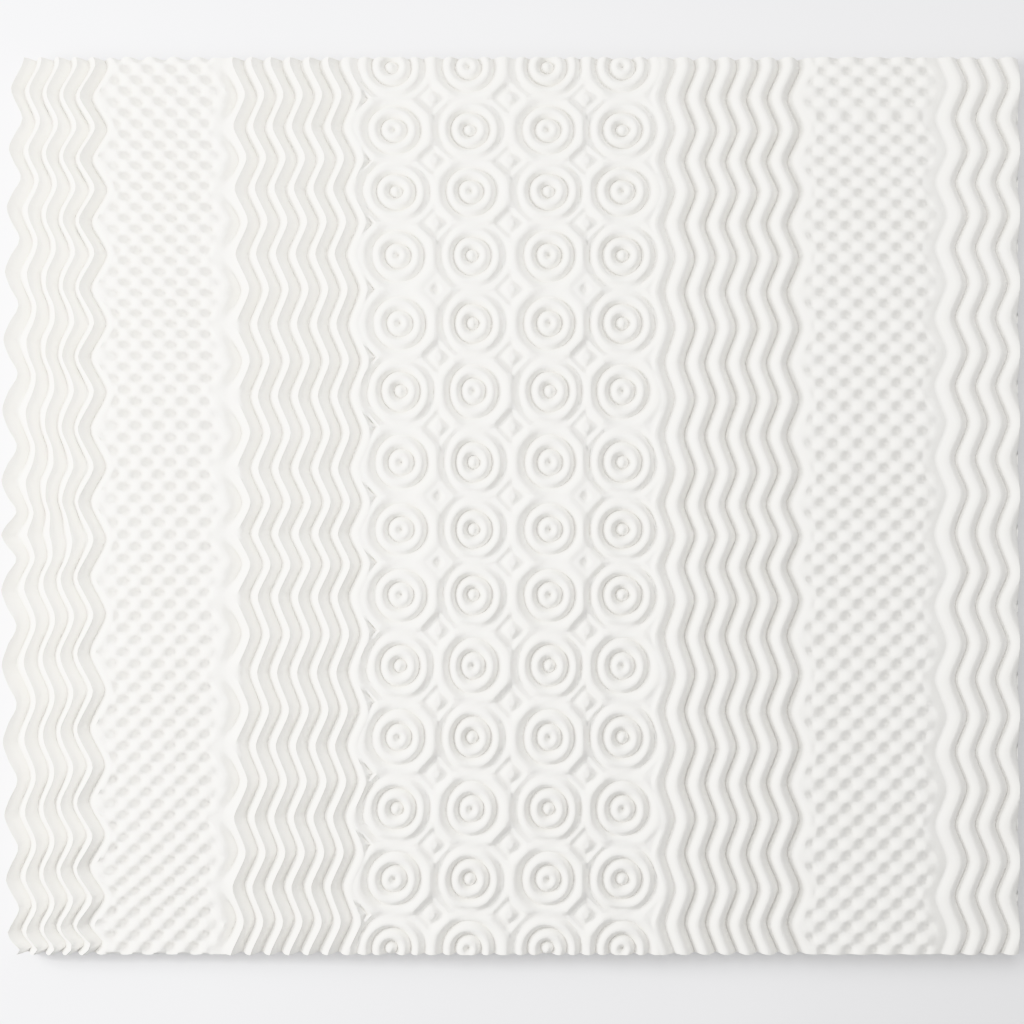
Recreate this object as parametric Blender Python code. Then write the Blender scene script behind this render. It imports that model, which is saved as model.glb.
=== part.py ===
"""A foam mattress topper: one slab, flat below, with seven bands of moulded relief above.

The bands lie side by side along X: waves, knobs, waves, rings, waves, knobs, waves. Their pattern
is drawn on an even sheet, with u along the length and rows counted across the width, and laid()
puts a drawn point where the soft foam really has it.
"""

import math

import bpy
from mathutils import Vector
from mathutils.geometry import delaunay_2d_cdt

MM = 0.001

# The slab.
WIDTH = 1775 * MM  # across, along Y
THICKNESS = 50 * MM  # from the underside to the tops of the ribs
RIGHT_EDGE = 1006 * MM  # the straight cut at +X
EDGE_GAP = 3 * MM  # the last rib's top stays this far inside that cut
SMALLEST_STEP = 4 * MM  # between two points along a cut
FOAM_COLOUR = (0.86, 0.85, 0.82, 1.0)
FOAM_ROUGHNESS = 0.95

# How deep each kind of relief is, below one common level of tops.
RIB_DEPTH = 24 * MM
KNOB_DEPTH = 16 * MM
RING_DEPTH = 15 * MM
MIDDLE = THICKNESS - RIB_DEPTH / 2  # half way down the ribs, from which heights are counted
KNOB_MIDDLE = (RIB_DEPTH - KNOB_DEPTH) / 2
RING_MIDDLE = (RIB_DEPTH - RING_DEPTH) / 2

# The rows of rings, from the far side to the near one: where the row lies, and what stands in the
# middle of its first target. The targets of a row alternate.
BOSS = 1
PIT = -1
RING_ROWS = (
    # y, first middle
    (870 * MM, BOSS),
    (745 * MM, PIT),
    (624 * MM, BOSS),
    (497 * MM, PIT),
    (362 * MM, PIT),
    (228 * MM, BOSS),
    (86 * MM, PIT),
    (-47 * MM, PIT),
    (-176 * MM, PIT),
    (-317 * MM, BOSS),
    (-459 * MM, PIT),
    (-601 * MM, BOSS),
    (-740 * MM, PIT),
    (-877 * MM, BOSS),
)
ROW_PITCH = 134.4 * MM  # a row's height on the drawn sheet
COLUMNS = (-236.5 * MM, -83.3 * MM, 73.6 * MM, 222.6 * MM)
RING_PITCH = 26.3 * MM  # from ridge to ridge
WHOLE_RINGS = 4  # tops and grooves that go all the way round a target
OUTER_RING_RUN = 53 * MM  # how far the next one runs along either side of the target
LAST_GROOVE_REACH = 62 * MM  # where that one lies on a boss target beside a wavy band
RING_INSET = 4 * MM  # the least space between a ring's corner and a long cut
FADED = 0.35  # what is left of the outer whole ring's depth where two rows meet
CORNER_LEVEL = 0.7  # the small knob or pit between four targets, as a share of the rings' depth
CORNER_SIZE = 27 * MM
SIDE_GROOVE = 20 * MM  # from a wavy band's outer top to the small pit beside two targets

# The wavy bands: the first rib's line, the ribs' pitch and number, how far they swing at each end
# of the band, and to which side they swing at a row of rings.
WAVES = {
    # band: first rib, pitch, ribs, swing of the first and last rib, side
    "left": (-976.1 * MM, 34.4 * MM, 5, 11.5 * MM, 15.5 * MM, 1),
    "middle_left": (-539.5 * MM, 38.1 * MM, 7, 12 * MM, 12 * MM, -1),
    "middle_right": (297.0 * MM, 41.2 * MM, 7, 10 * MM, 12 * MM, 1),
    "right": (875.0 * MM, 40.0 * MM, 4, 12 * MM, 12 * MM, -1),
}
# Which groove of each band lies beside the knobs, and where the knobs' smooth margin is.
KNOB_SIDES = {
    # band: groove, margin
    "left": (4.5, 5),
    "middle_left": (-0.5, -1),
    "middle_right": (6.5, 7),
    "right": (-0.5, -1),
}
# How far each band's waves run ahead of the rows of rings, in rows.
LEADS = (
    # y, left band's outer and inner rib, middle left, middle right, right
    (870 * MM, 0.12, 0.03, 0.06, 0.02, 0.22),
    (430 * MM, 0.26, 0.02, 0.00, -0.04, 0.09),
    (20 * MM, 0.24, -0.08, -0.09, -0.13, 0.03),
    (-135 * MM, 0.57, -0.22, -0.03, -0.08, -0.15),
    (-420 * MM, 0.46, -0.37, -0.11, -0.14, -0.20),
    (-590 * MM, 0.42, -0.40, -0.11, -0.15, -0.22),
    (-880 * MM, 1.10, 0.22, -0.10, -0.15, -0.28),
)
LEAD_COLUMNS = {"left": (1, 2), "middle_left": (3, 3), "middle_right": (4, 4), "right": (5, 5)}
ZIGZAG_SHARPNESS = 0.96  # 0 is a sine, 1 a plain zigzag

# The knobbed bands: the first line of knobs, the step to the next line, which is set off by half a
# knob, the number of lines, and where the knobs of the first line start, in rows.
KNOBS = {
    # band: first line, step, lines, start
    "left": (-761 * MM, 23.9 * MM, 9, 0.21),
    "right": (596 * MM, 25.3 * MM, 9, 0.23),
}
KNOBS_IN_A_ROW = 3
MARGIN_LEVEL = 0.6  # how high the knobs' margin stands, where 1 is a rib's top and -1 a groove
KNOB_GAP = 12 * MM  # the least space between a knob and the margin

# How far the slab bows sideways half way across its width, along its length, and how far it leans.
BOWS = (
    # u, bow, lean of the far side to the right
    (-976 * MM, -18 * MM, 4 * MM),
    (-804 * MM, 0 * MM, 3 * MM),
    (-532 * MM, 14 * MM, 1 * MM),
    (-237 * MM, 20.7 * MM, 0 * MM),
    (-83 * MM, 10.6 * MM, 0 * MM),
    (74 * MM, 5.1 * MM, 0 * MM),
    (223 * MM, 0 * MM, 0 * MM),
)

OCTAGON_HALF_SIDE = math.tan(math.radians(22.5))  # of an octagon whose side is 1 from its middle


def read_off(table, column, at):
    """A column of a table whose first column rises or falls, read off between its lines."""
    rows = table if table[0][0] < table[-1][0] else table[::-1]
    if at <= rows[0][0]:
        return rows[0][column]
    for low, high in zip(rows, rows[1:]):
        if at <= high[0]:
            share = (at - low[0]) / (high[0] - low[0])
            return low[column] + share * (high[column] - low[column])
    return rows[-1][column]


def row_at(y):
    """The row of rings at y, counted from 0 at the first row, with its fraction."""
    step = 0
    while step < len(RING_ROWS) - 2 and y < RING_ROWS[step + 1][0]:
        step += 1
    above, below = RING_ROWS[step][0], RING_ROWS[step + 1][0]
    return step + (above - y) / (above - below)


def y_of(row):
    """Where a row of rings, or a fraction of one, lies across the width."""
    step = min(max(int(math.floor(row)), 0), len(RING_ROWS) - 2)
    above, below = RING_ROWS[step][0], RING_ROWS[step + 1][0]
    return above + (row - step) * (below - above)


FAR_CUT = row_at(WIDTH / 2)
NEAR_CUT = row_at(-WIDTH / 2)


def laid(u, row):
    """Where the foam has the point that is drawn at u and row."""
    y = y_of(row)
    out = 2 * y / WIDTH  # 1 at the far cut, -1 at the near one
    return u + read_off(BOWS, 1, u) * (1 - out ** 2) + read_off(BOWS, 2, u) * out, y


def zigzag(turns):
    """A rounded zigzag between -1 and 1, at 1 where turns is a whole number."""
    swing = ZIGZAG_SHARPNESS * math.cos(2 * math.pi * turns)
    return math.asin(swing) / math.asin(ZIGZAG_SHARPNESS)


def rib_line(band, rib, row):
    """The drawn u of a wavy band's line: a whole rib is a top, and a half one a groove."""
    first, pitch, ribs, first_swing, last_swing, side = WAVES[band]
    outer, inner = LEAD_COLUMNS[band]
    share = min(max(rib / ribs, 0.0), 1.0)
    y = y_of(row)
    swing = (1 - share) * first_swing * zigzag(row + read_off(LEADS, outer, y))
    swing += share * last_swing * zigzag(row + read_off(LEADS, inner, y))
    return min(first + pitch * rib + side * swing, RIGHT_EDGE - EDGE_GAP)


def turning_rows(band, rib):
    """The rows at which a line of the band turns back."""
    column = LEAD_COLUMNS[band][0 if rib < WAVES[band][2] / 2 else 1]

    def phase(row):
        return row + read_off(LEADS, column, y_of(row))

    turns = []
    half_turn = math.ceil(2 * phase(FAR_CUT) + 0.2)
    while half_turn / 2 < phase(NEAR_CUT) - 0.1:
        low, high = FAR_CUT, NEAR_CUT
        while high - low > 1e-4:
            middle = (low + high) / 2
            if phase(middle) < half_turn / 2:
                low = middle
            else:
                high = middle
        turns.append(low)
        half_turn += 1
    return turns


class Drawing:
    """The points and lines that the upper face is woven from."""

    def __init__(self):
        self.points = []
        self.heights = []
        self.edges = []
        self.far_side = []
        self.near_side = []

    def add(self, u, row, height):
        """A point at a height over the middle level."""
        self.points.append(laid(u, row))
        self.heights.append(height)
        return len(self.points) - 1

    def on_cut(self, side, u, height):
        """A point on one of the two long cuts, or the one that is already there."""
        row = FAR_CUT if side is self.far_side else NEAR_CUT
        x = laid(u, row)[0]
        for point in side:
            if abs(self.points[point][0] - x) < SMALLEST_STEP:
                return point
        side.append(self.add(u, row, height))
        return side[-1]

    def line(self, points):
        """Edges along a run of points."""
        self.edges += list(zip(points, points[1:]))

    def loop(self, points):
        """Edges along a closed run of points, in which None is a gap."""
        for a, b in zip(points, points[1:] + points[:1]):
            if a is not None and b is not None:
                self.edges.append((a, b))

    def clear_of(self, u, row, others, gap):
        """Whether a drawn point stays a gap away from some other points."""
        x, y = laid(u, row)
        return all(math.hypot(x - a, y - b) > gap for a, b in others)


def draw_rib_line(drawing, band, rib, level):
    """One top, groove or margin of a wavy band, from the far cut to the near one."""
    height = level * RIB_DEPTH / 2
    far = drawing.on_cut(drawing.far_side, rib_line(band, rib, FAR_CUT), height)
    near = drawing.on_cut(drawing.near_side, rib_line(band, rib, NEAR_CUT), height)
    between = [drawing.add(rib_line(band, rib, row), row, height) for row in turning_rows(band, rib)]
    drawing.line([far, *between, near])
    return [far, *between, near]


def draw_waves(drawing):
    """The four wavy bands. Returns the knobs' margins, and the first top, where the slab ends."""
    margins = {}
    for band, wave in WAVES.items():
        ribs = wave[2]
        lines = [draw_rib_line(drawing, band, rib, 1) for rib in range(ribs)]
        if band == "left":
            left_edge = lines[0]
        for rib in range(ribs - 1):
            draw_rib_line(drawing, band, rib + 0.5, -1)
        groove, margin = KNOB_SIDES[band]
        draw_rib_line(drawing, band, groove, -1)
        margins[band] = draw_rib_line(drawing, band, margin, MARGIN_LEVEL)
    return margins, left_edge


def draw_right_edge(drawing):
    """The straight cut at +X, which rises and falls where it runs through the last rib."""
    pitch, ribs = WAVES["right"][1:3]
    edge = []
    for row in [FAR_CUT, *turning_rows("right", ribs - 1), NEAR_CUT]:
        past = (RIGHT_EDGE - rib_line("right", ribs - 1, row)) / pitch
        edge.append(drawing.add(RIGHT_EDGE, row, RIB_DEPTH / 2 * math.cos(2 * math.pi * past)))
    return edge


def draw_knobs(drawing, band, margins):
    """The knobs and the pits between them, as far as the band's wavy margins."""
    first, step, lines, start = KNOBS[band]
    margin_points = [drawing.points[i] for margin in margins for i in margin]
    rise = 1 / (2 * KNOBS_IN_A_ROW)
    places = range(math.ceil((FAR_CUT - start) / rise + 0.3), int((NEAR_CUT - start) / rise - 0.3) + 1)
    grid = {}
    for line in range(lines):
        u = first + step * line
        for place in places:
            row = start + rise * place
            knob = 1 if (line + place) % 2 == 0 else -1
            if drawing.clear_of(u, row, margin_points, KNOB_GAP):
                grid[line, place] = drawing.add(u, row, KNOB_MIDDLE + knob * KNOB_DEPTH / 2)
        for side, row in ((drawing.far_side, FAR_CUT), (drawing.near_side, NEAR_CUT)):
            level = math.cos(math.pi * ((row - start) / rise + line))
            drawing.on_cut(side, u, KNOB_MIDDLE + level * KNOB_DEPTH / 2)
    for (line, place), point in grid.items():
        is_pit = (line + place) % 2 == 1
        for lean in (-1, 1):
            if is_pit and (line + 1, place + lean) in grid:
                drawing.edges.append((point, grid[line + 1, place + lean]))


def octagon(reach):
    """The corners of an octagon whose sides are reach away from its middle."""
    half = reach * OCTAGON_HALF_SIDE
    half_round = [(reach, -half), (reach, half), (half, reach), (-half, reach)]
    return half_round + [(-x, -y) for x, y in half_round]


def within_cuts(row):
    """Whether a row, with its fraction, is clear of the two long cuts."""
    inset = RING_INSET / ROW_PITCH
    return FAR_CUT + inset < row < NEAR_CUT - inset


def draw_target(drawing, column, row, middle):
    """One target: rings about a boss or a pit, as octagons, cut off at the slab's long cuts."""
    u = COLUMNS[column]
    depth = middle * RING_DEPTH / 2

    def corner(x, y, height):
        at = row + y / ROW_PITCH
        return drawing.add(u + x, at, RING_MIDDLE + height) if within_cuts(at) else None

    corner(0, 0, depth)
    for ring in range(1, WHOLE_RINGS + 1):
        reach = ring * RING_PITCH / 2
        height = depth * (-1) ** ring
        outermost = ring == WHOLE_RINGS
        drawing.loop([
            corner(x, y, height * FADED if outermost and abs(y) == reach else height)
            for x, y in octagon(reach)
        ])
    for side in (-1, 1):
        beside_wave = (column, side) in ((0, -1), (len(COLUMNS) - 1, 1))
        if beside_wave and middle == PIT:
            continue
        reach = LAST_GROOVE_REACH if beside_wave else (WHOLE_RINGS + 1) * RING_PITCH / 2
        half = reach * OCTAGON_HALF_SIDE
        end = reach + half - OUTER_RING_RUN
        arc = [(end, -OUTER_RING_RUN), (reach, -half), (reach, half), (end, OUTER_RING_RUN)]
        drawing.loop([corner(side * x, y, -depth) for x, y in arc] + [None])


def draw_cut_targets(drawing):
    """Where the two long cuts run through the first and the last row of targets."""
    for side, row, cut in (
        (drawing.far_side, 0, FAR_CUT),
        (drawing.near_side, len(RING_ROWS) - 1, NEAR_CUT),
    ):
        away = abs(cut - row) * ROW_PITCH
        for column, u in enumerate(COLUMNS):
            depth = RING_ROWS[row][1] * (-1) ** column * RING_DEPTH / 2
            drawing.on_cut(side, u, RING_MIDDLE + depth * math.cos(2 * math.pi * away / RING_PITCH))
            for ring in range(1, WHOLE_RINGS + 2):
                reach = ring * RING_PITCH / 2
                half_width = min(reach, reach * (1 + OCTAGON_HALF_SIDE) - away)
                if reach > away:
                    drawing.on_cut(side, u - half_width, RING_MIDDLE + depth * (-1) ** ring)
                    drawing.on_cut(side, u + half_width, RING_MIDDLE + depth * (-1) ** ring)


def draw_corners(drawing):
    """The small knobs and pits between four targets, and beside two at the wavy bands."""
    step = CORNER_SIZE / ROW_PITCH
    for row in range(len(RING_ROWS) - 1):
        between = row + 0.5
        alike = RING_ROWS[row][1] == RING_ROWS[row + 1][1]
        for column, (left, right) in enumerate(zip(COLUMNS, COLUMNS[1:])):
            knob = RING_ROWS[row][1] * (-1) ** column if alike else BOSS
            top = RING_MIDDLE + knob * CORNER_LEVEL * RING_DEPTH / 2
            about = RING_MIDDLE - knob * CORNER_LEVEL * RING_DEPTH / 2
            u = (left + right) / 2
            drawing.add(u, between, top)
            drawing.loop([
                drawing.add(u + CORNER_SIZE, between, about),
                drawing.add(u, between + step, about),
                drawing.add(u - CORNER_SIZE, between, about),
                drawing.add(u, between - step, about),
            ])
        pit = RING_MIDDLE - CORNER_LEVEL * RING_DEPTH / 2
        last_left = WAVES["middle_left"][2] - 1
        drawing.add(rib_line("middle_left", last_left, between) + SIDE_GROOVE, between, pit)
        drawing.add(rib_line("middle_right", 0, between) - SIDE_GROOVE, between, pit)


def draw_rings(drawing):
    """The band of targets."""
    draw_cut_targets(drawing)
    for row, (_y, first_middle) in enumerate(RING_ROWS):
        for column in range(len(COLUMNS)):
            draw_target(drawing, column, row, first_middle * (-1) ** column)
    draw_corners(drawing)


def draw_outline(drawing, left_edge, right_edge):
    """The slab's outline, all round, as one run of edges."""
    far = sorted(drawing.far_side, key=lambda i: drawing.points[i][0])
    near = sorted(drawing.near_side, key=lambda i: -drawing.points[i][0])
    drawing.loop(far + right_edge + near + left_edge[-2:0:-1])


def slab_mesh(drawing):
    """The closed slab: the woven upper face, upright cuts all round and a flat underside."""
    flat = [Vector(point) for point in drawing.points]
    points, _edges, faces, sources, _, _ = delaunay_2d_cdt(flat, drawing.edges, [], 1, 1e-5)
    vertices = []
    for point, drawn in zip(points, sources):
        nearest = drawn or [min(range(len(flat)), key=lambda i: (flat[i] - point).length_squared)]
        height = sum(drawing.heights[i] for i in nearest) / len(nearest)
        vertices.append((point.x, point.y, MIDDLE + height))

    steps = {step for face in faces for step in zip(face, face[1:] + face[:1])}
    onward = {a: b for a, b in steps if (b, a) not in steps}
    outline = [min(onward)]
    while onward[outline[-1]] != outline[0]:
        outline.append(onward[outline[-1]])

    below = {v: len(vertices) + n for n, v in enumerate(outline)}
    vertices += [(points[v].x, points[v].y, 0.0) for v in outline]
    cuts = [(b, a, below[a], below[b]) for a, b in zip(outline, outline[1:] + outline[:1])]
    underside = tuple(below[v] for v in reversed(outline))
    mesh = bpy.data.meshes.new("topper")
    mesh.from_pydata(vertices, [], [*faces, *cuts, underside])
    return mesh


def centre(mesh):
    """Puts the slab's own box evenly about the origin."""
    xs = [vertex.co.x for vertex in mesh.vertices]
    ys = [vertex.co.y for vertex in mesh.vertices]
    middle = Vector(((min(xs) + max(xs)) / 2, (min(ys) + max(ys)) / 2, 0.0))
    for vertex in mesh.vertices:
        vertex.co -= middle


def foam_material():
    """White foam, dull all over."""
    material = bpy.data.materials.new("white_foam")
    material.use_nodes = True
    shader = material.node_tree.nodes["Principled BSDF"]
    shader.inputs["Base Color"].default_value = FOAM_COLOUR
    shader.inputs["Roughness"].default_value = FOAM_ROUGHNESS
    shader.inputs["Metallic"].default_value = 0.0
    return material


def make_topper():
    """The whole slab."""
    drawing = Drawing()
    margins, left_edge = draw_waves(drawing)
    right_edge = draw_right_edge(drawing)
    draw_knobs(drawing, "left", (margins["left"], margins["middle_left"]))
    draw_knobs(drawing, "right", (margins["middle_right"], margins["right"]))
    draw_rings(drawing)
    draw_outline(drawing, left_edge, right_edge)
    mesh = slab_mesh(drawing)
    centre(mesh)
    mesh.materials.append(foam_material())
    topper = bpy.data.objects.new("topper", mesh)
    bpy.context.scene.collection.objects.link(topper)
    return topper


for thing in list(bpy.data.objects):
    bpy.data.objects.remove(thing)
make_topper()
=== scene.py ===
"""A white foam mattress topper, seen from straight above on a pale studio floor.

One closed slab of foam. Its upper face is drawn on a flat sheet, with u along the length and rows of
rings counted across the width, and a tree of geometry nodes raises the relief and lays the sheet
where the soft foam has it. All sizes are in metres.
"""

import itertools
import math

import bmesh
import bpy
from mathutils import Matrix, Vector


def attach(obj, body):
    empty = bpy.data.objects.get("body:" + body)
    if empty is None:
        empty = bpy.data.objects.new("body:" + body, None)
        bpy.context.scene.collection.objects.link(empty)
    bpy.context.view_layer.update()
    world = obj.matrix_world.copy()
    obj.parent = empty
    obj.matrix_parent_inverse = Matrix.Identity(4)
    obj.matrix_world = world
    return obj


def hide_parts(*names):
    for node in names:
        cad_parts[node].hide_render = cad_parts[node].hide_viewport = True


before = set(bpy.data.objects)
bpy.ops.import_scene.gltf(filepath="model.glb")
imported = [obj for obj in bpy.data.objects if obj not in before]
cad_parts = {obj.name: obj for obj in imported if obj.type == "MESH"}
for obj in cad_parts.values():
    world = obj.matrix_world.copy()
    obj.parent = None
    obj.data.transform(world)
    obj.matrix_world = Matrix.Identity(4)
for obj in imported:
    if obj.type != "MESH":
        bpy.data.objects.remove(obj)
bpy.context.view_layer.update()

MM = 0.001

# The slab.
WIDTH = 1775 * MM
THICKNESS = 50 * MM
RIGHT_EDGE = 1006 * MM

# How deep each kind of relief is, from its tops to its grooves. All tops lie level.
RIB_DEPTH = 24 * MM
RIGHT_RIB_DEPTH = 16 * MM
LEFT_KNOB_DEPTH = 22 * MM
RIGHT_KNOB_DEPTH = 15 * MM
RING_DEPTH = 15 * MM

# How far the soft foam strays sideways and sinks, and the size of the lumps in which it does so.
UNEVENNESS = 1.2 * MM
SIDEWAYS_LUMP = 90 * MM
SUNKEN_LUMP = 60 * MM
STRAYING_ENDS = (0.9, 0.95)  # shares of the way to either end: past the first it strays less
# sideways, and past the second not at all, because the ends are trimmed.

# The rows of rings, from the far side to the near one: where the row lies, and what stands in the
# middle of its first target. The targets of a row alternate.
BOSS = 1
PIT = -1
RING_ROWS = (
    # y, first middle
    (870 * MM, BOSS),
    (745 * MM, PIT),
    (624 * MM, BOSS),
    (497 * MM, PIT),
    (362 * MM, PIT),
    (228 * MM, BOSS),
    (86 * MM, PIT),
    (-47 * MM, PIT),
    (-176 * MM, PIT),
    (-317 * MM, BOSS),
    (-459 * MM, PIT),
    (-601 * MM, BOSS),
    (-740 * MM, PIT),
    (-877 * MM, BOSS),
)
ROW_PITCH = 134.4 * MM
COLUMNS = (-238.3 * MM, -85.1 * MM, 71.8 * MM, 220.8 * MM)

# The rings of a target: their pitch, and how many of them lie inside the last groove.
RING_PITCH = 26.3 * MM
BOSS_RINGS = 2.5
PIT_RINGS = 2.0
OUTER_GAP = 36 * MM  # the breadth of the ridge past a last groove, where no other column sets it
FAR_AWAY = 1.0  # where the next target would stand beyond the outer columns

# Away from a target's middle its circles turn a little towards a blunt eight-sided shape.
EIGHT_SIDED_SHARE = 0.25
EIGHT_SIDED_FADE = (40 * MM, 78 * MM)  # the radii from which they turn, and have turned that far
BLUNTNESS = 6 * MM

# The smooth pads between the rows, measured from a target's middle: where they set in across the
# width and are smooth, and how far they reach sideways and where they end.
PAD_RISE = (46 * MM, 59 * MM)
PAD_END = (14 * MM, 36 * MM)

# What stands between four targets: a knob with a groove about it, or a pit with a ridge about it.
CORNER_LEVEL = 0.6  # how high and low they reach, as a share of the rings' height
CORNER_KNOB = (12 * MM, 24 * MM)  # how far its flat top reaches, and where its groove starts
CORNER_PIT = (3 * MM, 18 * MM)  # how far its flat bottom reaches, and where its ridge starts
CORNER_SQUARE = (8 * MM, 26 * MM)  # how far they are round, and from where they are diamonds
CORNER_END = (24 * MM, 44 * MM)  # where the rings set in, and where they are whole
CORNER_BESIDE_WAVES = 0.5  # how high the foam stands there beside a wavy band

# The notch between two rows, beside the middle left band: an arrow's head that points away from it.
NOTCH = 26 * MM  # from the last rib on the left to the tip of the notch between two rows
NOTCH_HALF_WIDTH = 5.5 * MM
NOTCH_LEVEL = -0.8
NOTCH_RUN = (16 * MM, 26 * MM)  # across the width, how far its arms are whole, and where they end

RINGS_FADE = (1 * MM, 12 * MM)  # from a wavy band's last rib, where the rings set in and are whole

# The wavy bands: the first rib's line, the ribs' pitch, the last rib, how far they swing at each end
# of the band, and to which side they swing at a row of rings.
WAVES = {
    # band: first rib, pitch, last rib, swing of the first and last rib, side
    "left": (-978.1 * MM, 34.4 * MM, 4, 11.5 * MM, 15.5 * MM, 1),
    "middle_left": (-541.3 * MM, 38.1 * MM, 6, 12 * MM, 12 * MM, -1),
    "middle_right": (295.2 * MM, 41.2 * MM, 6, 10 * MM, 12 * MM, 1),
    "right": (875.0 * MM, 40.0 * MM, 3, 12 * MM, 12 * MM, -1),
}
WAVES_FADE = 30 * MM  # how far beyond a wavy band its waves still push the foam aside
LAST_PUSHED_RIB = 2.5  # of the right band. From there they fade out towards the right edge.

# How far each band's waves run ahead of the rows of rings, in rows.
LEADS = (
    # y, left band's outer and inner rib, middle left, middle right, right
    (870 * MM, 0.12, 0.03, 0.06, 0.02, 0.22),
    (430 * MM, 0.26, 0.02, 0.00, -0.04, 0.09),
    (20 * MM, 0.24, -0.08, -0.09, -0.13, 0.03),
    (-135 * MM, 0.57, -0.22, -0.03, -0.08, -0.15),
    (-420 * MM, 0.46, -0.37, -0.11, -0.14, -0.20),
    (-590 * MM, 0.42, -0.40, -0.11, -0.15, -0.22),
    (-880 * MM, 1.10, 0.22, -0.10, -0.15, -0.28),
)
LEAD_COLUMNS = {"left": (1, 2), "middle_left": (3, 3), "middle_right": (4, 4), "right": (5, 5)}
ZIGZAG_SHARPNESS = 0.88  # 0 is a sine, 1 a plain zigzag

# Below 1 the grooves between round tops grow narrow, and above 1 wide.
ARCH_SHARPNESS = {
    "left": 1.4,
    "middle_left": 1.3,
    "rings": 1.0,
    "middle_right": 0.95,
    "right": 0.75,
}

# How much of the middle right band's first groove is filled, and where, in ribs from its middle.
FIRST_GROOVE_FILL = 0.35
FIRST_GROOVE_FADE = (0.25, 0.5)

# The knobbed bands: the first line of knobs, the step to the next line, and the knobs' breadth, where
# 1 is a cosine, and above it the knobs grow broad and the pits small.
KNOBS = {
    # band: first line, step, breadth
    "left": (-761 * MM, 23.1 * MM, 1.4),
    "right": (596 * MM, 25.3 * MM, 1.9),
}
KNOBS_IN_A_ROW = 3
# Where the knobs of the first line start, in rows.
KNOB_STARTS = (
    # y, left band, right band
    (786 * MM, 0.22, 0.07),
    (526 * MM, 0.25, 0.21),
    (265 * MM, 0.14, 0.21),
    (4 * MM, 0.20, 0.26),
    (-257 * MM, 0.30, 0.30),
    (-518 * MM, 0.27, 0.31),
    (-779 * MM, 0.15, 0.35),
)
KNOB_START_COLUMNS = {"left": 1, "right": 2}
KNOBS_FADE = 18 * MM  # how far inside the margins the knobs reach their full depth

# The smooth margins beside the knobs, and the outer grooves of the wavy bands next to them.
KNOB_SIDES = {
    # band: its outer groove, the rib at which the margin ends and the knobs begin, the knobs' side
    "left": (4.5, 5, 1),
    "middle_left": (-0.5, -1, -1),
    "middle_right": (6.5, 7, 1),
    "right": (-0.5, -1, -1),
}
MARGIN_LEVEL = 0.6  # how high the margins stand, where 1 is a rib's top and -1 a groove
MARGIN_EDGE = -576 * MM  # where the left knobs' right margin ends in a straight edge
MARGIN_ROOM = (2 * MM, 20 * MM)  # from that edge to an outer groove with no depth, or its whole one
RIGHT_ROOM = 0.3  # what share of its depth the right band's outer groove has
SHALLOW_LEVEL = 0.8  # the bottom of a groove with no depth, as a share of the margin's height
SHALLOW_FADE = (0.1, 0.5)  # how far from such a groove, in ribs, the usual relief sets in and is whole

# How far the slab bows sideways half way across its width, along its length, and how far it leans.
BOWS = (
    # u, bow, lean of the far side to the right
    (-976 * MM, -18 * MM, 4 * MM),
    (-804 * MM, 0 * MM, 3 * MM),
    (-620 * MM, 1 * MM, 2 * MM),
    (-532 * MM, 14 * MM, 1 * MM),
    (-237 * MM, 20.7 * MM, 0 * MM),
    (-83 * MM, 10.6 * MM, 0 * MM),
    (74 * MM, 5.1 * MM, 0 * MM),
    (223 * MM, 0 * MM, 0 * MM),
    (1006 * MM, 0 * MM, 0 * MM),
)

# The flat sheet's mesh.
SPOT = 0.01 * MM  # along u, the step in which places are told apart
SPOTS_IN_A_ROW = 5000  # and across the width, how many such steps a row has
RIB_LINES = (0.0, 0.22, 0.40, 0.50, 0.60, 0.78)  # lines of points from one top to the next
KNOB_LINES = 6.9 * MM  # from one line of points to the next among the knobs
FACES_IN_A_ROW = 12  # along the wavy bands, and twice as many among the knobs
CELL_SIDE = 6  # faces along each side of the cell of a target, or of a corner
CORNER_CUT = 0.25  # of a row: half of the little cell between four targets
CORNER_STEPS = 6  # from the middle of that cell to its outline
FIRST_CIRCLE = 0.01 * RING_PITCH  # the least radius of a circle of points about a target's middle
LAST_CIRCLE = 57 * MM  # and the greatest
OUTER_STEPS = 5  # from there to the outline of the target's cell
ON_THE_CUT = 1e-6  # points this near to a long cut are taken to lie on it
SHARP_FOLD = math.radians(70)  # grooves and cut edges that fold more than this aren't smoothed

# The foam's finish: its small cells, its larger pores, the soft patches and specks of its colour, and
# the wear along its two long cuts.
CELL = 1.4 * MM
PORE_PITCH = 6 * MM
PORE_RIM = (0.12, 0.26)  # of that pitch: how far a pore's bottom reaches, and where its rim is
PATCH = 70 * MM
SPECK = 9 * MM
WORN_SPOT = 14 * MM
WORN_RIM = 6 * MM  # how far from a cut the foam is worn

# The foam's colour at its darkest and its lightest, and how far each of these moves it from the one
# to the other, about the tone of plain foam. The pores move it as painted shade inside them.
DARK_FOAM = (0.86, 0.85, 0.82, 1.0)
LIGHT_FOAM = (0.93, 0.925, 0.91, 1.0)
PLAIN_TONE = 0.5
PATCH_TONE = 0.25
SPECK_TONE = 0.15
# painted shade: how much darker the colour is painted inside a pore
PORE_PAINTED_SHADE = 0.2
WORN_TONE = 0.4
WORN_DEPTH = 2.0  # how deep the wear goes in the bump, where a pore goes 1 deep

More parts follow.
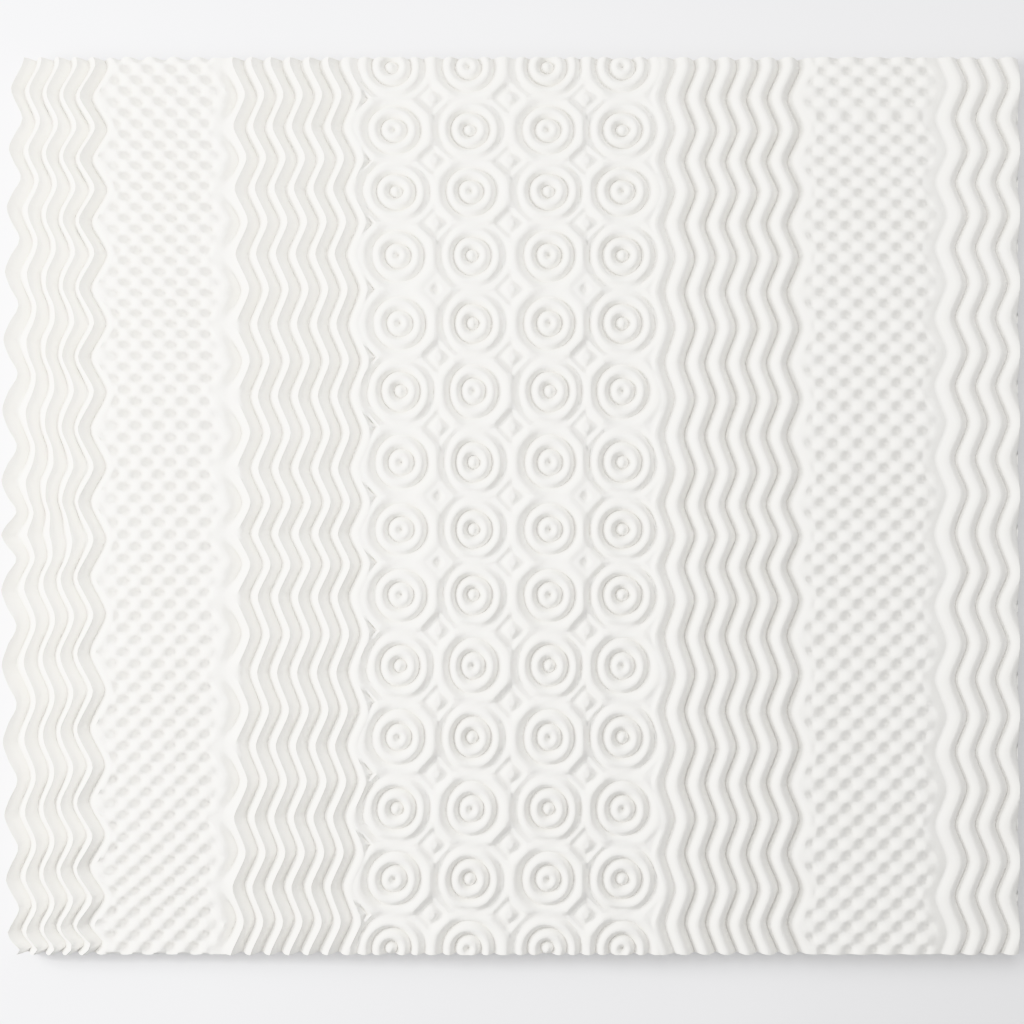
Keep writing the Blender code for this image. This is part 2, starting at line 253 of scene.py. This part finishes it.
# The studio.
FLOOR_HALF = 6.0
FLOOR_COLOUR = (0.86, 0.86, 0.87, 1.0)
LIGHT_ALL_ROUND = 0.6
SOFTBOXES = (
    # name, place, aim, side, watts
    ("low_softbox", (-2.2, 0.15, 1.0), (0.1, 0.0, 0.0), 1.0, 30),
    ("side_softbox", (-3.2, 0.3, 1.6), (0.1, 0.0, 0.0), 1.2, 50),
    ("high_softbox", (-3.6, 0.3, 4.6), (0.1, 0.0, 0.0), 1.2, 50),
    ("far_softbox", (0.0, 2.4, 3.4), (0.0, 0.0, 0.0), 3.0, 45),
)
CAMERA_PLACE = (0.0022, -0.0119, 2.860)
LENS = 50  # in millimetres
SENSOR = 36  # in millimetres


def row_at(y):
    """The row of rings at y, counted from 0 at the first row, with its fraction."""
    step = 0
    while step < len(RING_ROWS) - 2 and y < RING_ROWS[step + 1][0]:
        step += 1
    above, below = RING_ROWS[step][0], RING_ROWS[step + 1][0]
    return step + (above - y) / (above - below)


FAR_CUT = row_at(WIDTH / 2)
NEAR_CUT = row_at(-WIDTH / 2)


def rib_line(band, rib):
    """Where a band's rib is drawn along u."""
    first, pitch = WAVES[band][:2]
    return first + rib * pitch


LAST_MIDDLE_RIB = WAVES["middle_left"][2]
RINGS_START = rib_line("middle_left", LAST_MIDDLE_RIB)
RINGS_END = rib_line("middle_right", 0)
KNOBS_BEGIN = {band: rib_line(band, sides[1]) for band, sides in KNOB_SIDES.items()}


# ---------------------------------------------------------------- the flat sheet

class Sheet:
    """Faces drawn on a plane, which share a point wherever their corners meet."""

    def __init__(self):
        self.places = {}
        self.points = []
        self.faces = []

    @staticmethod
    def spot(u, row):
        """A place as whole numbers, which are the same for all points that count as one."""
        return round(u / SPOT), round(row * SPOTS_IN_A_ROW)

    def point(self, u, row):
        """The number of the point at a place."""
        key = self.spot(u, row)
        if key not in self.places:
            self.places[key] = len(self.points)
            self.points.append((u, row, 0.0))
        return self.places[key]

    def face(self, *corners):
        """One face, from its corners' places."""
        ring = []
        for u, row in corners:
            number = self.point(u, row)
            if number not in ring:
                ring.append(number)
        if len(ring) > 2:
            self.faces.append(ring)

    def fan(self, middle, loops):
        """Faces between one closed loop of places and the next, about a middle."""
        inner = [middle] * len(loops[0])
        for outer in loops:
            for n in range(len(outer)):
                self.face(inner[n - 1], outer[n - 1], outer[n], inner[n])
            inner = outer

    def strip(self, lines, short):
        """A strip between two lines or more, with faces of a row's twelfth, or half of it where they
        are short or meet a point half way."""
        steps = len(RING_ROWS) * FACES_IN_A_ROW * (2 if short else 1)
        rows = [len(RING_ROWS) * n / steps - 0.5 for n in range(steps + 1)]
        for left, right in zip(lines, lines[1:]):
            for far, near in zip(rows, rows[1:]):
                half = (far + near) / 2
                ring = [(left, far), (left, near), (right, near), (right, far)]
                if self.spot(right, half) in self.places:
                    ring.insert(3, (right, half))
                if self.spot(left, half) in self.places:
                    ring.insert(1, (left, half))
                self.face(*ring)


def rib_lines(band, start, end):
    """The lines of points along a wavy band, which follow its tops and grooves."""
    lines = []
    for rib in range(math.floor(start), math.ceil(end) + 1):
        lines += [rib_line(band, rib + part) for part in RIB_LINES if start <= rib + part < end]
    return lines + [rib_line(band, end)]


def even_lines(start, end, step):
    """Evenly spaced lines of points from start to end."""
    count = round((end - start) / step)
    return [start + (end - start) * n / count for n in range(count + 1)]


def outline(corners):
    """Places along the straight sides of a shape, from its first corner."""
    places = []
    for (u, row), (next_u, next_row) in zip(corners, corners[1:] + corners[:1]):
        for n in range(CELL_SIDE):
            share = n / CELL_SIDE
            places.append((u + (next_u - u) * share, row + (next_row - row) * share))
    return places


def target_cell(sheet, column, number):
    """The faces of one target: circles that follow its rings, then steps out to an eight-sided
    outline."""
    middle = COLUMNS[column]
    left = (COLUMNS[column - 1] + middle) / 2 if column else RINGS_START
    right = (COLUMNS[column + 1] + middle) / 2 if column + 1 < len(COLUMNS) else RINGS_END
    far, near, cut = number - 0.5, number + 0.5, CORNER_CUT
    cut_u = cut * ROW_PITCH
    edge = outline([
        (left, number - cut), (left + cut_u, far), (right - cut_u, far), (right, number - cut),
        (right, number + cut), (right - cut_u, near), (left + cut_u, near), (left, number + cut),
    ])
    sign = RING_ROWS[number][1] * (-1) ** column
    radii = [
        (ring + part + (0 if sign == BOSS else 0.5)) * RING_PITCH
        for ring in range(-1, 3) for part in RIB_LINES
    ]
    radii = [radius for radius in radii if FIRST_CIRCLE < radius < LAST_CIRCLE]
    loops = []
    for radius in radii:
        circle = []
        for u, row in edge:
            away = math.hypot(u - middle, (row - number) * ROW_PITCH)
            circle.append((
                middle + (u - middle) * radius / away,
                number + (row - number) * radius / away,
            ))
        loops.append(circle)
    last = loops[-1]
    for step in range(1, OUTER_STEPS):
        share = step / OUTER_STEPS
        loops.append([
            (a + (u - a) * share, b + (row - b) * share) for (a, b), (u, row) in zip(last, edge)
        ])
    sheet.fan((middle, number), loops + [edge])


def corner_cell(sheet, u, number, sides):
    """The faces of the little diamond between four targets, or of the half on one side of a band."""
    row = number + 0.5

    def place(side, way, step, part):
        """A point of the diamond: some steps out from its middle, and some parts along its side."""
        reach = step / CORNER_STEPS * CORNER_CUT
        share = part / CELL_SIDE
        return u + side * reach * ROW_PITCH * (1 - share), row + way * reach * share

    for side, way in itertools.product(sides, (-1, 1)):
        for step, part in itertools.product(range(CORNER_STEPS), range(CELL_SIDE)):
            sheet.face(
                place(side, way, step, part),
                place(side, way, step + 1, part),
                place(side, way, step + 1, part + 1),
                place(side, way, step, part + 1),
            )


def flat_slab():
    """The closed slab before its relief is raised: x is u, y counts rows of rings, and z is 1 at the
    upper face and 0 at the underside."""
    sheet = Sheet()
    for number in range(len(RING_ROWS)):
        for column in range(len(COLUMNS)):
            target_cell(sheet, column, number)
    between = [(a + b) / 2 for a, b in zip(COLUMNS, COLUMNS[1:])]
    for number in range(-1, len(RING_ROWS)):
        corner_cell(sheet, RINGS_START, number, (1,))
        for u in between:
            corner_cell(sheet, u, number, (-1, 1))
        corner_cell(sheet, RINGS_END, number, (-1,))
    for left, right in (("left", "middle_left"), ("middle_right", "right")):
        lines = even_lines(KNOBS_BEGIN[left], KNOBS_BEGIN[right], KNOB_LINES)
        sheet.strip(lines, short=True)
    right_edge = (RIGHT_EDGE - rib_line("right", 0)) / WAVES["right"][1]
    for band, start, end in (
        ("left", 0, KNOB_SIDES["left"][1]),
        ("middle_left", KNOB_SIDES["middle_left"][1], LAST_MIDDLE_RIB),
        ("middle_right", 0, KNOB_SIDES["middle_right"][1]),
        ("right", KNOB_SIDES["right"][1], right_edge),
    ):
        sheet.strip(rib_lines(band, start, end), short=False)
    mesh = bpy.data.meshes.new("topper_foam")
    mesh.from_pydata(sheet.points, [], sheet.faces)

    slab = bmesh.new()
    slab.from_mesh(mesh)
    for row, way in ((FAR_CUT, -1), (NEAR_CUT, 1)):
        bmesh.ops.bisect_plane(
            slab, geom=slab.verts[:] + slab.edges[:] + slab.faces[:], dist=ON_THE_CUT,
            plane_co=(0, row, 0), plane_no=(0, way, 0), clear_outer=True,
        )
    for face in slab.faces:
        face.smooth = True
    rim = [edge for edge in slab.edges if edge.is_boundary]
    for edge in rim:
        edge.smooth = False
    walls = bmesh.ops.extrude_edge_only(slab, edges=rim)["geom"]
    low = {item for item in walls if isinstance(item, bmesh.types.BMVert)}
    for point in slab.verts:
        point.co.z = 0.0 if point in low else 1.0
    for face in walls:
        if isinstance(face, bmesh.types.BMFace):
            face.smooth = False
    foot = [edge for edge in slab.edges if edge.verts[0] in low and edge.verts[1] in low]
    bmesh.ops.edgeloop_fill(slab, edges=foot)
    bmesh.ops.recalc_face_normals(slab, faces=slab.faces)
    slab.to_mesh(mesh)
    slab.free()
    return mesh


# ---------------------------------------------------------------- arithmetic with fields

class Field:
    """A number at every point of the sheet: one output of the tree, with its arithmetic."""

    def __init__(self, tree, socket):
        self.tree = tree
        self.socket = socket

    def through(self, kind, others, settings):
        """What a node of some kind gives for this field and others."""
        node = self.tree.nodes.new(kind)
        for name, value in settings.items():
            setattr(node, name, value)
        for entry, value in zip(node.inputs, (self, *others)):
            if isinstance(value, Field):
                self.tree.links.new(value.socket, entry)
            else:
                entry.default_value = value
        return Field(self.tree, node.outputs[0])

    def maths(self, operation, *others):
        """One sum of a Math node."""
        return self.through("ShaderNodeMath", others, {"operation": operation})

    def __add__(self, other):
        return self.maths("ADD", other)

    __radd__ = __add__

    def __sub__(self, other):
        return self.maths("SUBTRACT", other)

    def __rsub__(self, other):
        return self.maths("MULTIPLY", -1.0) + other

    def __mul__(self, other):
        return self.maths("MULTIPLY", other)

    __rmul__ = __mul__

    def __truediv__(self, other):
        return self.maths("DIVIDE", other)

    def wave(self):
        """A cosine, at 1 where this is a whole number."""
        return (self * (2 * math.pi)).maths("COSINE")

    def size(self):
        """This without its sign."""
        return self.maths("ABSOLUTE")

    def floor(self):
        """The whole number at or below this."""
        return self.maths("FLOOR")

    def nearest(self, low, high):
        """The nearest whole number, kept between two limits."""
        return self.maths("ROUND").maths("MAXIMUM", low).maths("MINIMUM", high)

    def past(self, limit):
        """1 where this is over the limit, and 0 elsewhere."""
        return self.maths("GREATER_THAN", limit)

    def ramp(self, low, high):
        """Rises smoothly from 0 at low to 1 at high."""
        return self.through(
            "ShaderNodeMapRange", (low, high, 0.0, 1.0), {"interpolation_type": "SMOOTHSTEP"}
        )

    def towards(self, other, share):
        """This where share is 0, and the other where it is 1."""
        return self + (other - self) * share


def lumps(tree, places, size, seed):
    """Soft random lumps of about a size, between -1 and 1."""
    node = tree.nodes.new("ShaderNodeTexNoise")
    node.noise_dimensions = "4D"
    node.inputs["W"].default_value = seed
    node.inputs["Scale"].default_value = 1 / size
    node.inputs["Detail"].default_value = 1.0
    tree.links.new(places, node.inputs["Vector"])
    return Field(tree, node.outputs[0]) * 2 - 1.0


def pick(at, values):
    """The value whose place in a list, counted from 0, is the whole number at."""
    node = at.tree.nodes.new("GeometryNodeIndexSwitch")
    node.data_type = "FLOAT"
    while len(node.index_switch_items) < len(values):
        node.index_switch_items.new()
    at.tree.links.new((at + 0.5).socket, node.inputs[0])
    for entry, value in zip(node.inputs[1:], values):
        entry.default_value = value
    return Field(at.tree, node.outputs[0])


def read_off(at, table, column):
    """A column of a table whose first column rises or falls, as a smooth curve."""
    rows = sorted((row[0], row[column]) for row in table)
    low, high = rows[0][0], rows[-1][0]
    least, most = min(value for _, value in rows), max(value for _, value in rows)
    node = at.tree.nodes.new("ShaderNodeFloatCurve")
    points = node.mapping.curves[0].points
    while len(points) < len(rows):
        points.new(0.5, 0.5)
    for point, (x, value) in zip(points, rows):
        point.location = ((x - low) / (high - low), (value - least) / (most - least))
    node.mapping.update()
    at.tree.links.new(((at - low) / (high - low)).socket, node.inputs["Value"])
    return Field(at.tree, node.outputs[0]) * (most - least) + least


# ---------------------------------------------------------------- the relief

def zigzag(turns):
    """A rounded zigzag between -1 and 1, at 1 where turns is a whole number."""
    swing = (turns.wave() * ZIGZAG_SHARPNESS).maths("ARCSINE")
    return swing / math.asin(ZIGZAG_SHARPNESS)


def arch(turns, band):
    """Round tops at whole numbers and grooves half way between them, from 1 to -1."""
    return (turns * math.pi).maths("COSINE").size().maths("POWER", ARCH_SHARPNESS[band]) * 2 - 1.0


def sway(band, u, row, y):
    """How far a wavy band's line that is drawn straight at u really lies to the right."""
    first, pitch, last, first_swing, last_swing, side = WAVES[band]
    outer, inner = LEAD_COLUMNS[band]
    inner_wave = zigzag(row + read_off(y, LEADS, inner))
    if outer == inner and first_swing == last_swing:
        return inner_wave * (side * last_swing)
    share = ((u - first) / (pitch * last)).maths("MAXIMUM", 0.0).maths("MINIMUM", 1.0)
    outer_wave = inner_wave if outer == inner else zigzag(row + read_off(y, LEADS, outer))
    outer_wave = outer_wave * (side * first_swing)
    return outer_wave.towards(inner_wave * (side * last_swing), share)


def knob_height(band, u, row, y, depth):
    """Broad knobs and small pits, set like the black and white fields of a draughtboard."""
    first, step, breadth = KNOBS[band]
    start = read_off(y, KNOB_STARTS, KNOB_START_COLUMNS[band])
    along = ((u - first) / (2 * step)).wave()
    across = ((row - start) * KNOBS_IN_A_ROW).wave()
    from_top = (1.0 - along * across) / 2
    return (1.0 - from_top.maths("POWER", breadth) * 2) * (depth / 2)


def reach_of(dx, dy):
    """How far from a target's middle, along circles that turn a little eight-sided further out."""
    circle = (dx * dx + dy * dy).maths("SQRT")
    diagonal = (dx + dy) * math.sqrt(0.5)
    eight_sided = dx.maths("SMOOTH_MAX", dy, BLUNTNESS).maths("SMOOTH_MAX", diagonal, BLUNTNESS)
    share = circle.ramp(*EIGHT_SIDED_FADE) * EIGHT_SIDED_SHARE
    return circle.towards(eight_sided, share)


def target_height(u, row, depth):
    """The rings about each boss and pit, the smooth pads between the rows, and what stands
    between four targets."""
    signs = [middle for _, middle in RING_ROWS]
    midways = [(a + b) / 2 for a, b in zip(COLUMNS, COLUMNS[1:])]
    column = u.past(midways[0]) + u.past(midways[1]) + u.past(midways[2])
    nearest_row = row.nearest(0, len(RING_ROWS) - 1)
    centre = pick(column, COLUMNS)
    beside = column + u.past(centre) * 2
    neighbour = pick(beside, [-FAR_AWAY, *COLUMNS, FAR_AWAY])
    middle = pick(nearest_row, signs) * (column / 2).wave()

    corner_at = u.past(COLUMNS[0]) + u.past(COLUMNS[1]) + u.past(COLUMNS[2]) + u.past(COLUMNS[3])
    between_rows = (row - 0.5).nearest(0, len(RING_ROWS) - 2)
    corner_dx = (u - pick(corner_at, [RINGS_START, *midways, RINGS_END])).size()
    corner_dy = ((row - between_rows - 0.5) * ROW_PITCH).size()
    alike = pick(between_rows, [1.0 if a == b else 0.0 for a, b in zip(signs, signs[1:])])
    left_sign = pick(between_rows, signs) * ((corner_at - 1.0) / 2).wave()

    dx = (u - centre).size()
    dy = ((row - nearest_row) * ROW_PITCH).size()
    reach = reach_of(dx, dy)
    both = (BOSS_RINGS + PIT_RINGS) * RING_PITCH
    last_groove = ((middle + 1.0) * (BOSS_RINGS - PIT_RINGS) / 2 + PIT_RINGS) * RING_PITCH
    groove_beside = both - last_groove
    groove_above = groove_beside.towards(last_groove, alike)
    gaps = [OUTER_GAP, *(b - a - both for a, b in zip(COLUMNS, COLUMNS[1:])), OUTER_GAP]
    ridge = (reach - last_groove) / pick(column + u.past(centre), gaps)
    ridge_beside = (reach_of((u - neighbour).size(), dy) - groove_beside) / OUTER_GAP
    ridge_above = (reach_of(dx, ROW_PITCH - dy) - groove_above) / OUTER_GAP
    ridge = ridge.maths("MINIMUM", ridge_beside).maths("MINIMUM", ridge_above)
    ridge = ridge.maths("MINIMUM", 0.5).maths("MAXIMUM", 0.0)
    inside = reach.maths("MINIMUM", last_groove) / RING_PITCH
    rings = arch(inside + ridge + (1.0 - middle) / 4, "rings")

    pad = dy.ramp(*PAD_RISE) * (1.0 - dx.ramp(*PAD_END))
    rings = rings * (1.0 - pad)

    plain_diamond = corner_dx + corner_dy
    circle = (corner_dx * corner_dx + corner_dy * corner_dy).maths("SQRT") * math.sqrt(2)
    diamond = circle.towards(plain_diamond, plain_diamond.ramp(*CORNER_SQUARE))
    knob = 1.0 - diamond.ramp(*CORNER_KNOB) * 2
    pit = diamond.ramp(*CORNER_PIT) * 2 - 1.0
    is_pit = alike * (1.0 - left_sign) / 2
    corner = knob.towards(pit, is_pit) * CORNER_LEVEL
    beside_bands = u.past(COLUMNS[3]) + (1.0 - u.past(COLUMNS[0]))
    corner = corner.towards(CORNER_BESIDE_WAVES, beside_bands)
    rings = corner.towards(rings, diamond.ramp(*CORNER_END))

    notch = (1.0 - (plain_diamond - NOTCH).size() / NOTCH_HALF_WIDTH).maths("MAXIMUM", 0.0)
    notch = notch * (1.0 - u.past(COLUMNS[0])) * (1.0 - corner_dy.ramp(*NOTCH_RUN))
    return rings.towards(NOTCH_LEVEL, notch) * (depth / 2)


def relief(u, row, y, sizes):
    """The height over the ribs' middle level at every point of the upper face."""
    pitch = {band: wave[1] for band, wave in WAVES.items()}
    rib = {
        band: (u - wave[0] - sway(band, u, row, y)) / pitch[band] for band, wave in WAVES.items()
    }
    top = sizes["Rib depth"] / 2
    low = sizes["Rib depth"] / -2
    margin = top * MARGIN_LEVEL

    def level_tops(height, depth):
        """Lifts relief that is less deep than the ribs, so that its tops lie level with theirs."""
        return height + (sizes["Rib depth"] - depth) / 2

    def bank(band, room=None):
        """Lowers the top beyond a band's outer groove to the margin, and makes that groove shallow
        where there is little room between it and the margin's edge."""
        groove, _, side = KNOB_SIDES[band]
        past = ((rib[band] - groove) * side).past(0.0)
        share = (ribs[band] - low) / sizes["Rib depth"]
        height = ribs[band].towards(low + share * (margin - low), past)
        if room is None:
            return height
        near = ((rib[band] - groove) * -side).maths("MAXIMUM", 0.0).ramp(*SHALLOW_FADE)
        shallow = (margin * SHALLOW_LEVEL).towards(height, room)
        return shallow.towards(height, near)

    def knobs(name, left, right):
        """A band of knobs between the margins of two wavy bands."""
        from_left = (rib[left] - KNOB_SIDES[left][1]) * pitch[left]
        from_right = (KNOB_SIDES[right][1] - rib[right]) * pitch[right]
        inside = from_left.maths("MINIMUM", from_right).ramp(0.0, KNOBS_FADE)
        depth = sizes[name.capitalize() + " knob depth"]
        return margin.towards(level_tops(knob_height(name, u, row, y, depth), depth), inside)

    ribs = {band: arch(rib[band], band) * top for band in WAVES}
    right_depth = sizes["Right rib depth"]
    ribs["right"] = level_tops(arch(rib["right"], "right") * (right_depth / 2), right_depth)
    first_groove = 1.0 - (rib["middle_right"] - 0.5).size().ramp(*FIRST_GROOVE_FADE)
    ribs["middle_right"] = ribs["middle_right"].towards(top, first_groove * FIRST_GROOVE_FILL)
    groove_line = u - (rib["middle_left"] - KNOB_SIDES["middle_left"][0]) * pitch["middle_left"]

    ribs["left"] = bank("left")
    ribs["middle_left"] = bank("middle_left", (groove_line - MARGIN_EDGE).ramp(*MARGIN_ROOM))
    ribs["middle_right"] = bank("middle_right")
    ribs["right"] = bank("right", RIGHT_ROOM)

    targets = level_tops(target_height(u, row, sizes["Ring depth"]), sizes["Ring depth"])
    past_last = (rib["middle_left"] - LAST_MIDDLE_RIB) * pitch["middle_left"]
    before_first = rib["middle_right"] * -pitch["middle_right"]
    targets = ribs["middle_left"].towards(targets, past_last.ramp(*RINGS_FADE))
    targets = ribs["middle_right"].towards(targets, before_first.ramp(*RINGS_FADE))

    begins = {band: rib[band].past(sides[1]) for band, sides in KNOB_SIDES.items()}
    height = ribs["left"].towards(knobs("left", "left", "middle_left"), begins["left"])
    height = height.towards(ribs["middle_left"], begins["middle_left"])
    height = height.towards(targets, rib["middle_left"].past(LAST_MIDDLE_RIB))
    height = height.towards(ribs["middle_right"], rib["middle_right"].past(0.0))
    height = height.towards(knobs("right", "middle_right", "right"), begins["middle_right"])
    return height.towards(ribs["right"], begins["right"])


def moved_aside(u, row, y):
    """Where a point that is drawn at u really lies, once the wavy bands have pushed it aside."""
    pushed = u
    last_pushed = rib_line("right", LAST_PUSHED_RIB)
    for band, start, end, after in (
        ("left", rib_line("left", 0), KNOBS_BEGIN["left"], WAVES_FADE),
        ("middle_left", KNOBS_BEGIN["middle_left"], RINGS_START, WAVES_FADE),
        ("middle_right", RINGS_END, KNOBS_BEGIN["middle_right"], WAVES_FADE),
        ("right", KNOBS_BEGIN["right"], last_pushed, RIGHT_EDGE - last_pushed),
    ):
        share = u.ramp(start - WAVES_FADE, start) * (1.0 - u.ramp(end, end + after))
        pushed = pushed + sway(band, u, row, y) * share
    return pushed


SIZES = {
    "Thickness": THICKNESS,
    "Rib depth": RIB_DEPTH,
    "Right rib depth": RIGHT_RIB_DEPTH,
    "Left knob depth": LEFT_KNOB_DEPTH,
    "Right knob depth": RIGHT_KNOB_DEPTH,
    "Ring depth": RING_DEPTH,
    "Unevenness": UNEVENNESS,
}


def together(tree, *values):
    """A place from its three coordinates."""
    node = tree.nodes.new("ShaderNodeCombineXYZ")
    for entry, value in zip(node.inputs, values):
        if isinstance(value, Field):
            tree.links.new(value.socket, entry)
        else:
            entry.default_value = value
    return node.outputs[0]


def relief_tree(material):
    """The tree that raises the relief on the flat slab and lays it as the soft foam lies."""
    tree = bpy.data.node_groups.new("foam_relief", "GeometryNodeTree")
    tree.interface.new_socket("Geometry", in_out="INPUT", socket_type="NodeSocketGeometry")
    for name in SIZES:
        entry = tree.interface.new_socket(name, in_out="INPUT", socket_type="NodeSocketFloat")
        entry.default_value = SIZES[name]
    tree.interface.new_socket("Geometry", in_out="OUTPUT", socket_type="NodeSocketGeometry")
    given = tree.nodes.new("NodeGroupInput")
    sizes = {name: Field(tree, given.outputs[name]) for name in SIZES}

    drawn = tree.nodes.new("ShaderNodeSeparateXYZ")
    tree.links.new(tree.nodes.new("GeometryNodeInputPosition").outputs[0], drawn.inputs[0])
    u, row, top = (Field(tree, drawn.outputs[axis]) for axis in range(3))

    ys = [y for y, _ in RING_ROWS]
    step = row.floor().maths("MAXIMUM", 0.0).maths("MINIMUM", len(ys) - 2)
    y = pick(step, ys[:-1]).towards(pick(step, ys[1:]), row - step)

    aside = moved_aside(u, row, y)
    height = relief(aside, row, y, sizes)

    bulge = 1.0 - (y * (2 / WIDTH)) * (y * (2 / WIDTH))
    x = aside + read_off(aside, BOWS, 1) * bulge + read_off(aside, BOWS, 2) * y * (2 / WIDTH)
    flat = together(tree, x, y, 0.0)
    from_ends = 1.0 - (u / RIGHT_EDGE).size().ramp(*STRAYING_ENDS)
    x = x + lumps(tree, flat, SIDEWAYS_LUMP, seed=1.0) * sizes["Unevenness"] * from_ends
    sunk = sizes["Unevenness"] - lumps(tree, flat, SUNKEN_LUMP, seed=2.0) * sizes["Unevenness"]
    z = (sizes["Thickness"] - sizes["Rib depth"] / 2 + height - sunk / 2) * top

    laid = together(tree, x, y, z)
    place = tree.nodes.new("GeometryNodeSetPosition")
    tree.links.new(given.outputs["Geometry"], place.inputs["Geometry"])
    tree.links.new(laid, place.inputs["Position"])
    foam = tree.nodes.new("GeometryNodeSetMaterial")
    foam.inputs["Material"].default_value = material
    tree.links.new(place.outputs[0], foam.inputs["Geometry"])
    whole = tree.nodes.new("GeometryNodeRealizeInstances")
    tree.links.new(foam.outputs[0], whole.inputs[0])
    out = tree.nodes.new("NodeGroupOutput")
    tree.links.new(whole.outputs[0], out.inputs[0])
    return tree


# ---------------------------------------------------------------- the foam's finish

def foam_material():
    """White open-cell foam: dull and very slightly warm, with small cells, scattered pores with
    painted shade inside them, soft patches, and a little wear along its two cuts."""
    material = bpy.data.materials.new("white_foam")
    material.use_nodes = True
    tree = material.node_tree
    shader = tree.nodes["Principled BSDF"]
    shader.inputs["Roughness"].default_value = 0.95
    shader.inputs["Specular IOR Level"].default_value = 0.2
    places = tree.nodes.new("ShaderNodeTexCoord").outputs["Object"]

    def cells(size):
        """How far it is to the middle of the nearest cell, where 1 is about a cell's size."""
        node = tree.nodes.new("ShaderNodeTexVoronoi")
        node.inputs["Scale"].default_value = 1 / size
        tree.links.new(places, node.inputs["Vector"])
        return Field(tree, node.outputs["Distance"])

    pores = 1.0 - cells(PORE_PITCH).ramp(*PORE_RIM)
    patches = lumps(tree, places, PATCH, seed=5.0)
    specks = lumps(tree, places, SPECK, seed=6.0)
    coordinates = tree.nodes.new("ShaderNodeSeparateXYZ")
    tree.links.new(places, coordinates.inputs[0])
    rim = Field(tree, coordinates.outputs[1]).size().ramp(WIDTH / 2 - WORN_RIM, WIDTH / 2)
    wear = rim * (lumps(tree, places, WORN_SPOT, seed=7.0) * 0.5 + 0.5)

    colour = tree.nodes.new("ShaderNodeValToRGB")
    # The pores darken the colour as painted shade inside them; the patches, specks and wear are the
    # foam's own colour.
    tone = patches * PATCH_TONE + specks * SPECK_TONE - pores * PORE_PAINTED_SHADE - wear * WORN_TONE
    tree.links.new((tone + PLAIN_TONE).socket, colour.inputs[0])
    ends = colour.color_ramp.elements
    ends[0].color = DARK_FOAM
    ends[1].color = LIGHT_FOAM
    tree.links.new(colour.outputs[0], shader.inputs["Base Color"])

    bump = tree.nodes.new("ShaderNodeBump")
    bump.inputs["Strength"].default_value = 0.3
    bump.inputs["Distance"].default_value = 0.6 * MM
    tree.links.new((cells(CELL) - pores - wear * WORN_DEPTH).socket, bump.inputs["Height"])
    tree.links.new(bump.outputs["Normal"], shader.inputs["Normal"])
    return material


def make_topper():
    """The slab, with its relief raised, as a plain mesh."""
    tree = relief_tree(foam_material())
    drawing = bpy.data.objects.new("topper_drawing", flat_slab())
    bpy.context.scene.collection.objects.link(drawing)
    modifier = drawing.modifiers.new("relief", "NODES")
    modifier.node_group = tree
    for item in tree.interface.items_tree:
        if item.in_out == "INPUT" and item.name in SIZES:
            modifier[item.identifier] = SIZES[item.name]
    shape = drawing.evaluated_get(bpy.context.evaluated_depsgraph_get())
    mesh = bpy.data.meshes.new_from_object(shape)
    bpy.data.objects.remove(drawing)
    mesh.name = "topper_foam"
    mesh.set_sharp_from_angle(angle=SHARP_FOLD)
    topper = bpy.data.objects.new("topper_foam", mesh)
    bpy.context.scene.collection.objects.link(topper)
    return topper


# ---------------------------------------------------------------- the studio

def floor():
    """A plain pale floor, far larger than what the camera sees."""
    mesh = bpy.data.meshes.new("studio_floor")
    corners = [
        (x * FLOOR_HALF, y * FLOOR_HALF, 0.0) for x, y in ((-1, -1), (1, -1), (1, 1), (-1, 1))
    ]
    mesh.from_pydata(corners, [], [(0, 1, 2, 3)])
    thing = bpy.data.objects.new("studio_floor", mesh)
    bpy.context.scene.collection.objects.link(thing)
    material = bpy.data.materials.new("pale_floor")
    material.use_nodes = True
    shader = material.node_tree.nodes["Principled BSDF"]
    shader.inputs["Base Color"].default_value = FLOOR_COLOUR
    shader.inputs["Roughness"].default_value = 0.9
    shader.inputs["Specular IOR Level"].default_value = 0.1
    mesh.materials.append(material)


def softbox(name, place, aim, side, watts):
    """A square soft box at a place, turned towards an aim."""
    light = bpy.data.lights.new(name, "AREA")
    light.shape = "SQUARE"
    light.size = side
    light.energy = watts
    thing = bpy.data.objects.new(name, light)
    thing.location = place
    thing.rotation_euler = (Vector(aim) - Vector(place)).to_track_quat("-Z", "Y").to_euler()
    bpy.context.scene.collection.objects.link(thing)


def studio():
    """Soft boxes at the left and a large one beyond the far side, even light from all round, and the
    camera straight above."""
    scene = bpy.context.scene
    world = bpy.data.worlds.new("studio")
    world.use_nodes = True
    background = world.node_tree.nodes["Background"]
    background.inputs["Color"].default_value = (1.0, 1.0, 1.0, 1.0)
    background.inputs["Strength"].default_value = LIGHT_ALL_ROUND
    scene.world = world
    for box in SOFTBOXES:
        softbox(*box)
    data = bpy.data.cameras.new("camera")
    data.lens = LENS
    data.sensor_width = SENSOR
    camera = bpy.data.objects.new("camera", data)
    camera.location = CAMERA_PLACE
    scene.collection.objects.link(camera)
    scene.camera = camera
    scene.view_settings.view_transform = "Khronos PBR Neutral"
    scene.view_settings.look = "None"


topper = make_topper()
floor()
studio()

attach(topper, "root")
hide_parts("topper")
